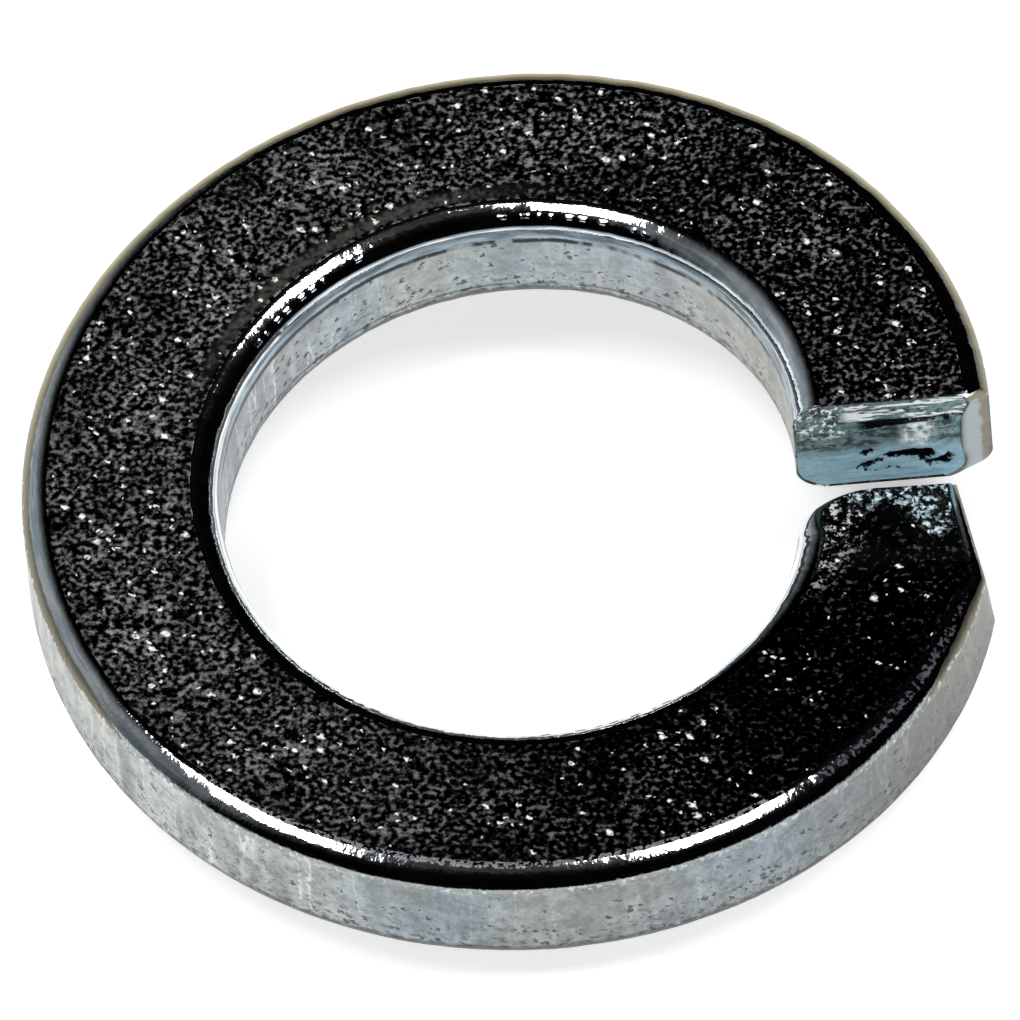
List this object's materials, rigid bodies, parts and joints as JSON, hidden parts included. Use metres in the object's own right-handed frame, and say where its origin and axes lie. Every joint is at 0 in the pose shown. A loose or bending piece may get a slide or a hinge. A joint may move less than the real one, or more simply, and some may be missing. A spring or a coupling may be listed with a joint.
{
  "type": "spring lock washer",
  "caption": "Helical spring lock washer: one open turn of flat wire with rounded edges, square-cut ends standing one above the other, and a plain bore.",
  "frame": {"origin": "on the bore's axis, level with the lowest edge of the low end", "axes": "+Z along the bore's axis towards the high end, +X from the axis through the gap between the two cut ends"},
  "size_m": [0.0144, 0.0144, 0.0039],
  "materials": {
    "zinc_steel": "bright zinc plating over rolled spring steel, rounded edges polished, faces finely grained, cut ends torn"
  },
  "bodies": {
    "root": {"lock_washer": "zinc_steel"}
  },
  "joints": []
}
